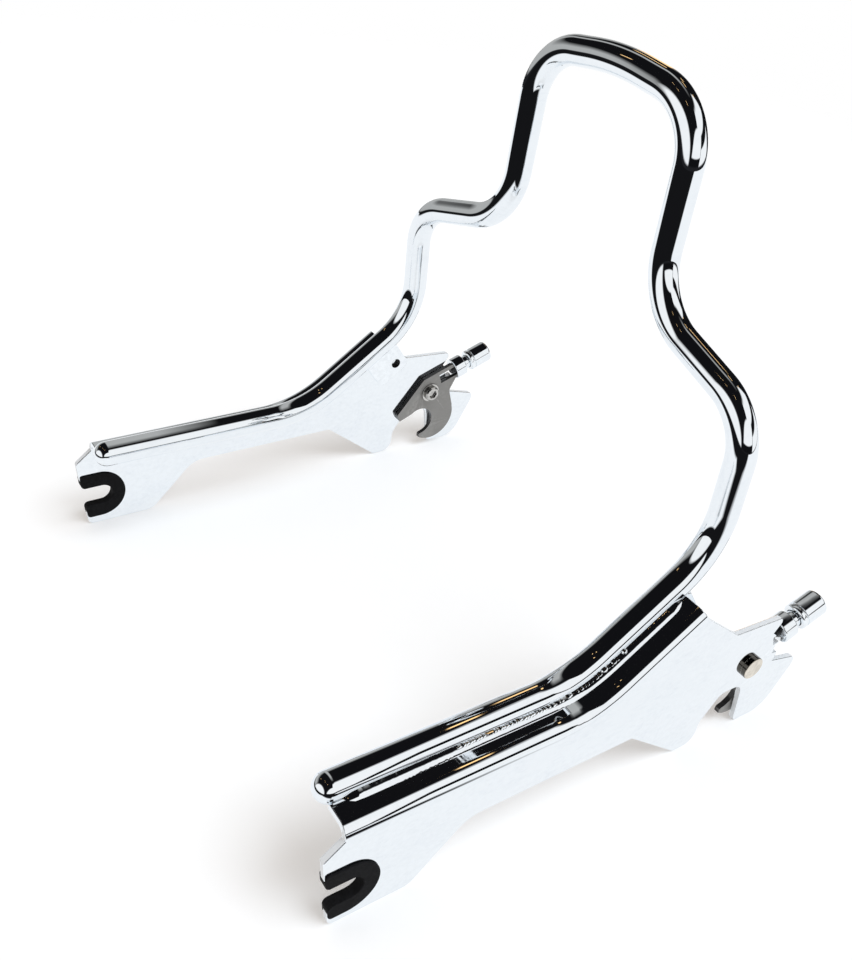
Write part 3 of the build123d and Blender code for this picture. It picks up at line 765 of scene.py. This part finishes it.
def room_pattern(tree):
    """What polished metal sees: pale walls by the camera, a dark room behind with small warm lamps."""
    direction = add(tree, "ShaderNodeTexCoord").outputs["Generated"]
    axes = add(tree, "ShaderNodeSeparateXYZ", {"Vector": direction}).outputs
    edge = ramp(tree, axes["X"], *WALL_SLANT)
    walls = ramp(tree, math_node(tree, "SUBTRACT", axes["Y"], edge), WALL_BLUR, -WALL_BLUR)
    pale = math_node(tree, "MULTIPLY", ramp(tree, axes["X"], *PALE_START_X), ramp(tree, axes["X"], *PALE_END_X))
    pale = math_node(tree, "MULTIPLY", pale, ramp(tree, axes["Y"], *PALE_Y))
    low = math_node(tree, "MULTIPLY", ramp(tree, axes["Z"], *LOW_WALL_Z), ramp(tree, axes["Y"], *LOW_WALL_Y))
    pale = math_node(tree, "MAXIMUM", pale, low)
    back = mix_colour(tree, pale, ROOM_DARK, ROOM_PALE)
    spark = 0.0
    for x, y, half_x, half_y in ROOM_LAMPS:
        aside = math_node(tree, "ABSOLUTE", math_node(tree, "SUBTRACT", axes["X"], x))
        above = math_node(tree, "ABSOLUTE", math_node(tree, "SUBTRACT", axes["Y"], y))
        glint = math_node(tree, "MULTIPLY", ramp(tree, aside, half_x, half_x * LAMP_CORE),
                          ramp(tree, above, half_y, half_y * LAMP_CORE))
        spark = math_node(tree, "MAXIMUM", glint, spark)
    lit = mix_colour(tree, spark, back, LAMP_GLOW)
    seam = ramp(tree, axes["X"], *SEAM_SLANT)
    off = math_node(tree, "ABSOLUTE", math_node(tree, "SUBTRACT", axes["Z"], seam))
    walls = math_node(tree, "MULTIPLY", walls, ramp(tree, off, *SEAM_EDGE))
    walls = math_node(tree, "MULTIPLY", walls, ramp(tree, axes["Z"], *WALL_TOP_Z))
    walls = math_node(tree, "MAXIMUM", walls, ramp(tree, axes["X"], *WALL_FRONT_X))
    upper = mix_colour(tree, walls, lit, WHITE)
    below = ramp(tree, axes["Z"], *HORIZON_Z)
    return mix_colour(tree, below, upper, ROOM_BELOW)


def light_room(context):
    """Even light for matt surfaces, the room for polished ones, and white behind it all for the camera."""
    world = bpy.data.worlds.new("pale_studio")
    context.scene.world = world
    world.use_nodes = True
    tree = world.node_tree
    tree.nodes.clear()
    path = add(tree, "ShaderNodeLightPath").outputs
    polished = mix_colour(tree, path["Is Glossy Ray"], EVEN_LIGHT, room_pattern(tree))
    seen = mix_colour(tree, path["Is Camera Ray"], polished, WHITE)
    background = add(tree, "ShaderNodeBackground", {"Color": seen, "Strength": 1.0})
    add(tree, "ShaderNodeOutputWorld", {"Surface": background.outputs[0]})
    lamp = bpy.data.lights.new("soft_overhead", "SUN")
    lamp.angle = SUN_ANGLE
    lamp.energy = SUN_ENERGY
    lamp.color = SUN_COLOUR
    light = bpy.data.objects.new("soft_overhead", lamp)
    light.rotation_euler = Vector(SUN_DIRECTION).to_track_quat("-Z", "Y").to_euler()
    light.visible_glossy = False
    context.scene.collection.objects.link(light)


def place_camera(context):
    """The photograph's viewpoint: its place, its bearing, how far it looks down and how far it is tipped."""
    level = math.cos(CAMERA_DOWN)
    right = Vector((math.cos(CAMERA_BEARING), -math.sin(CAMERA_BEARING), 0))
    ahead = Vector((math.sin(CAMERA_BEARING) * level, math.cos(CAMERA_BEARING) * level, -math.sin(CAMERA_DOWN)))
    up = right.cross(ahead)
    side = right * math.cos(CAMERA_TIP) + up * math.sin(CAMERA_TIP)
    top = up * math.cos(CAMERA_TIP) - right * math.sin(CAMERA_TIP)
    camera = bpy.data.objects.new("photo_camera", bpy.data.cameras.new("photo_camera"))
    camera.data.sensor_width = SENSOR_WIDTH
    camera.data.lens = FOCAL / max(PHOTO_SIZE) * SENSOR_WIDTH
    camera.data.clip_start = 0.01
    pose = Matrix((side, top, -ahead)).transposed().to_4x4()
    pose.translation = at(*CAMERA_AT)
    camera.matrix_world = pose
    context.scene.collection.objects.link(camera)
    context.scene.camera = camera


# Operators


class SISSYBAR_OT_bend_bar(bpy.types.Operator):
    """Sweep the round bar along rails, inclines, legs and crown, with domed front ends"""

    bl_idname = "sissybar.bend_bar"
    bl_label = "Bend the bar"

    def execute(self, context):
        sizes = context.scene.sissy_bar.bar
        half = []
        radius = sizes.diameter / 2
        for step in range(DOME_STEPS + 1):
            turn = math.radians(90 * step / DOME_STEPS)
            tip = at(DOME_X, BAR_Y, RAIL_Z) - Vector((radius * math.cos(turn), 0, 0))
            half.append((tip, 0.0, max(math.sin(turn), POLE_SWELL)))
        half.append((at(RAIL_X, BAR_Y, RAIL_Z), 0.0, 1.0))
        half.append((at(RAIL_BEND_X, BAR_Y, RAIL_Z), RAIL_BEND / 1000, 1.0))
        half.append((up_incline(RAIL_BEND_X, BAR_Y, RAIL_Z, INCLINE_RUN), INCLINE_BEND / 1000, 1.0))
        half += [(at(*point), bend / 1000, 1.0) for point, bend in LEG_ROUTE]
        other = [(Vector((p.x, -p.y, p.z)), bend, swell) for p, bend, swell in reversed(half)]
        top, bend = CROWN
        crown = (at(*top), bend / 1000, 1.0)
        route = route_mesh("bar_route", half + [crown] + other)
        material = chrome("plated_bar", wave_scale=45.0, wave_depth=0.00004)
        bar = grow("bent_bar", route, bar_tree(), {
            "Diameter": sizes.diameter, "Facets": sizes.facets, "Bend steps": sizes.bend_steps, "Material": material})
        dress(bar, material, "frame", "chrome_bar", "hoop_bar")
        return {"FINISHED"}


class SISSYBAR_OT_finish_plates(bpy.types.Operator):
    """Round the polished edges of the side plates and of the rack tabs"""

    bl_idname = "sissybar.finish_plates"
    bl_label = "Finish the plates"

    def execute(self, context):
        width = context.scene.sissy_bar.edges.plate
        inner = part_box("side_plate_right")[1].y - PLATE_THICK
        material = chrome("plated_plate", wave_scale=28.0, wave_depth=0.000016, clear=0.02, hazy=0.06, inner=inner)
        hole = next(m for m in frame["record"]["mounts"] if m["name"] == "rack_hole_right")["pos_m"]
        drilled = chrome("plated_tab", wave_scale=28.0, wave_depth=0.00001, clear=0.03, hazy=0.06, hole=hole)
        for side in SIDES:
            plate = rounded_copy("side_plate_" + side, "plate_" + side, width, steps=4)
            dress(plate, material, "frame", "chrome_plate", "side_plate_" + side)
            tab = rounded_copy("rack_tab_" + side, "tab_" + side, width * TAB_SHARE)
            dress(tab, drilled, "frame", "chrome_plate", "rack_tab_" + side)
        return {"FINISHED"}


class SISSYBAR_OT_run_welds(bpy.types.Operator):
    """Lay the rippled weld between each plate and the bar"""

    bl_idname = "sissybar.run_welds"
    bl_label = "Run the welds"

    def execute(self, context):
        sizes = context.scene.sissy_bar.bar
        material = chrome("plated_weld", wave_scale=300.0, wave_depth=0.00006, clear=0.02, hazy=0.07)
        tree = ripple_tree()
        bead = bead_tree()
        drop = sizes.bead_drop * 1000
        low = RAIL_Z - drop
        corner = RAIL_BEND_X + drop * math.tan(INCLINE / 2)
        for side, sign in SIDES.items():
            y = sign * BEAD_Y
            stations = [(at(x, y, low), 0.0, swell) for x, swell in BEAD_LAY]
            stations.append((at(corner, y, low), (RAIL_BEND + drop) / 1000, 1.0))
            stations += [(up_incline(corner, y, low, run), 0.0, swell) for run, swell in BEAD_RISE]
            if sign > 0:
                stations.reverse()
            body = grow("weld_bead_face_" + side, route_mesh("bead_route_" + side, stations), bead, {
                "Radius": sizes.bead_radius, "Facets": BEAD_FACETS, "Bend steps": sizes.bend_steps,
                "Material": material})
            dress(body, material, "frame", "weld", "weld_bead_" + side)
            y = sign * RIPPLE_Y
            rippled = [
                (at(RIPPLE_X, y, RIPPLE_Z), 0.0, 1.0),
                (at(RAIL_BEND_X, y, RIPPLE_Z), RAIL_BEND / 1000, 1.0),
                (up_incline(RAIL_BEND_X, y, RIPPLE_Z, RIPPLE_RUN), 0.0, 1.0),
            ]
            run = grow("weld_ripples_" + side, route_mesh("ripple_route_" + side, rippled), tree, {
                "Pitch": sizes.ripple_pitch, "Height": sizes.ripple_height, "Bend steps": sizes.bend_steps,
                "Seed": RIPPLE_SEED + sign, "Material": material})
            dress(run, material, "frame", "weld")
        return {"FINISHED"}


class SISSYBAR_OT_fit_bushings(bpy.types.Operator):
    """Fit the black rubber bushings in the front slots"""

    bl_idname = "sissybar.fit_bushings"
    bl_label = "Fit the bushings"

    def execute(self, context):
        width = context.scene.sissy_bar.edges.rubber
        for side in SIDES:
            bush = rounded_copy("slot_bushing_" + side, "bushing_" + side, width, steps=3)
            dress(bush, slot_rubber(), "frame", "bushing", "slot_bushing_" + side)
        return {"FINISHED"}


class SISSYBAR_OT_fit_latches(bpy.types.Operator):
    """Fit the satin hook plates of the rear latches"""

    bl_idname = "sissybar.fit_latches"
    bl_label = "Fit the latches"

    def execute(self, context):
        width = context.scene.sissy_bar.edges.hook
        for side in SIDES:
            hook = rounded_copy("latch_hook_" + side, "hook_" + side, width, steps=3)
            dress(hook, latch_steel(), "latch_" + side, "latch_steel", "latch_hook_" + side)
        return {"FINISHED"}


class SISSYBAR_OT_fit_pivots(bpy.types.Operator):
    """Fit the studs, screws, washers and shims on the latch pivots"""

    bl_idname = "sissybar.fit_pivots"
    bl_label = "Fit the pivots"

    def execute(self, context):
        width = context.scene.sissy_bar.edges.turned
        colours = context.scene.sissy_bar.finish
        # Painted shade: turned=0.4 darkens the sides of the screws and washers, turned=0.12 the sides of the studs.
        screw_steel = plain_steel("pivot_steel", colours.screw, clear=0.1, rough=0.2, turned=0.4)
        stud_steel = plain_steel("stud_steel", colours.stud, clear=0.06, rough=0.14, grain_scale=900.0, turned=0.12)
        studs = rounded_copy("pivot_studs", "studs", width, sharp=50.0)
        dress(studs, stud_steel, "frame", "chrome_small", "pivot_studs")
        screws = rounded_copy("pivot_screws", "screws", width)
        dress(screws, screw_steel, "frame", "screw_steel", "pivot_screws")
        washers = rounded_copy("pivot_washers", "washers", width)
        dress(washers, screw_steel, "frame", "screw_steel", "pivot_washers")
        dress_node("latch_shims", screw_steel)
        return {"FINISHED"}


class SISSYBAR_OT_fit_plungers(bpy.types.Operator):
    """Fit the sleeves, springs, pins and pull knobs of the locking plungers"""

    bl_idname = "sissybar.fit_plungers"
    bl_label = "Fit the plungers"

    def execute(self, context):
        width = context.scene.sissy_bar.edges.turned
        colours = context.scene.sissy_bar.finish
        polished = chrome("plated_small", wave_scale=160.0)
        dark = plain_steel("pin_steel", colours.pin, clear=0.25, rough=0.42)
        drawn = plain_steel("coil_steel", colours.coil, clear=0.2, rough=0.35)
        for side in SIDES:
            sleeve = rounded_copy("plunger_sleeve_" + side, "sleeve_" + side, width)
            dress(sleeve, polished, "latch_" + side, "chrome_small", "plunger_sleeve_" + side)
            knob = rounded_copy("pull_knob_" + side, "knob_" + side, width)
            dress(knob, polished, "plunger_" + side, "chrome_small", "pull_knob_" + side)
            pin = rounded_copy("plunger_pin_" + side, "pin_" + side, width * PIN_SHARE)
            dress(pin, dark, "plunger_" + side, "dark_pin", "plunger_pin_" + side)
            dress_node("plunger_spring_" + side, drawn)
        return {"FINISHED"}


class SISSYBAR_OT_set_stage(bpy.types.Operator):
    """Lay the pale floor, set the soft light and the room that the chrome shows, and place the camera"""

    bl_idname = "sissybar.set_stage"
    bl_label = "Set the stage"

    def execute(self, context):
        lay_floor(context.scene.sissy_bar.finish.floor)
        light_room(context)
        place_camera(context)
        context.scene.view_settings.view_transform = "Standard"
        return {"FINISHED"}


# Panel and registration


class SISSYBAR_PT_finish(bpy.types.Panel):
    """Lists the steps that finish the sissy bar"""

    bl_idname = "SISSYBAR_PT_finish"
    bl_label = "Sissy bar"
    bl_space_type = "VIEW_3D"
    bl_region_type = "UI"
    bl_category = "Sissy bar"

    def draw(self, context):
        settings = context.scene.sissy_bar
        for group in (settings.bar, settings.edges, settings.finish):
            box = self.layout.box()
            for name in group.__annotations__:
                box.prop(group, name)
        for step in STEPS:
            self.layout.operator(step.bl_idname)


STEPS = (
    SISSYBAR_OT_bend_bar,
    SISSYBAR_OT_finish_plates,
    SISSYBAR_OT_run_welds,
    SISSYBAR_OT_fit_bushings,
    SISSYBAR_OT_fit_latches,
    SISSYBAR_OT_fit_pivots,
    SISSYBAR_OT_fit_plungers,
    SISSYBAR_OT_set_stage,
)
CLASSES = (BarSettings, EdgeSettings, FinishSettings, SissyBarSettings) + STEPS + (SISSYBAR_PT_finish,)


def register():
    for item in CLASSES:
        bpy.utils.register_class(item)
    bpy.types.Scene.sissy_bar = bpy.props.PointerProperty(type=SissyBarSettings)


def unregister():
    del bpy.types.Scene.sissy_bar
    for item in reversed(CLASSES):
        bpy.utils.unregister_class(item)


def main():
    register()
    bpy.ops.sissybar.bend_bar()
    bpy.ops.sissybar.finish_plates()
    bpy.ops.sissybar.run_welds()
    bpy.ops.sissybar.fit_bushings()
    bpy.ops.sissybar.fit_latches()
    bpy.ops.sissybar.fit_pivots()
    bpy.ops.sissybar.fit_plungers()
    bpy.ops.sissybar.set_stage()


if __name__ == "__main__":
    main()
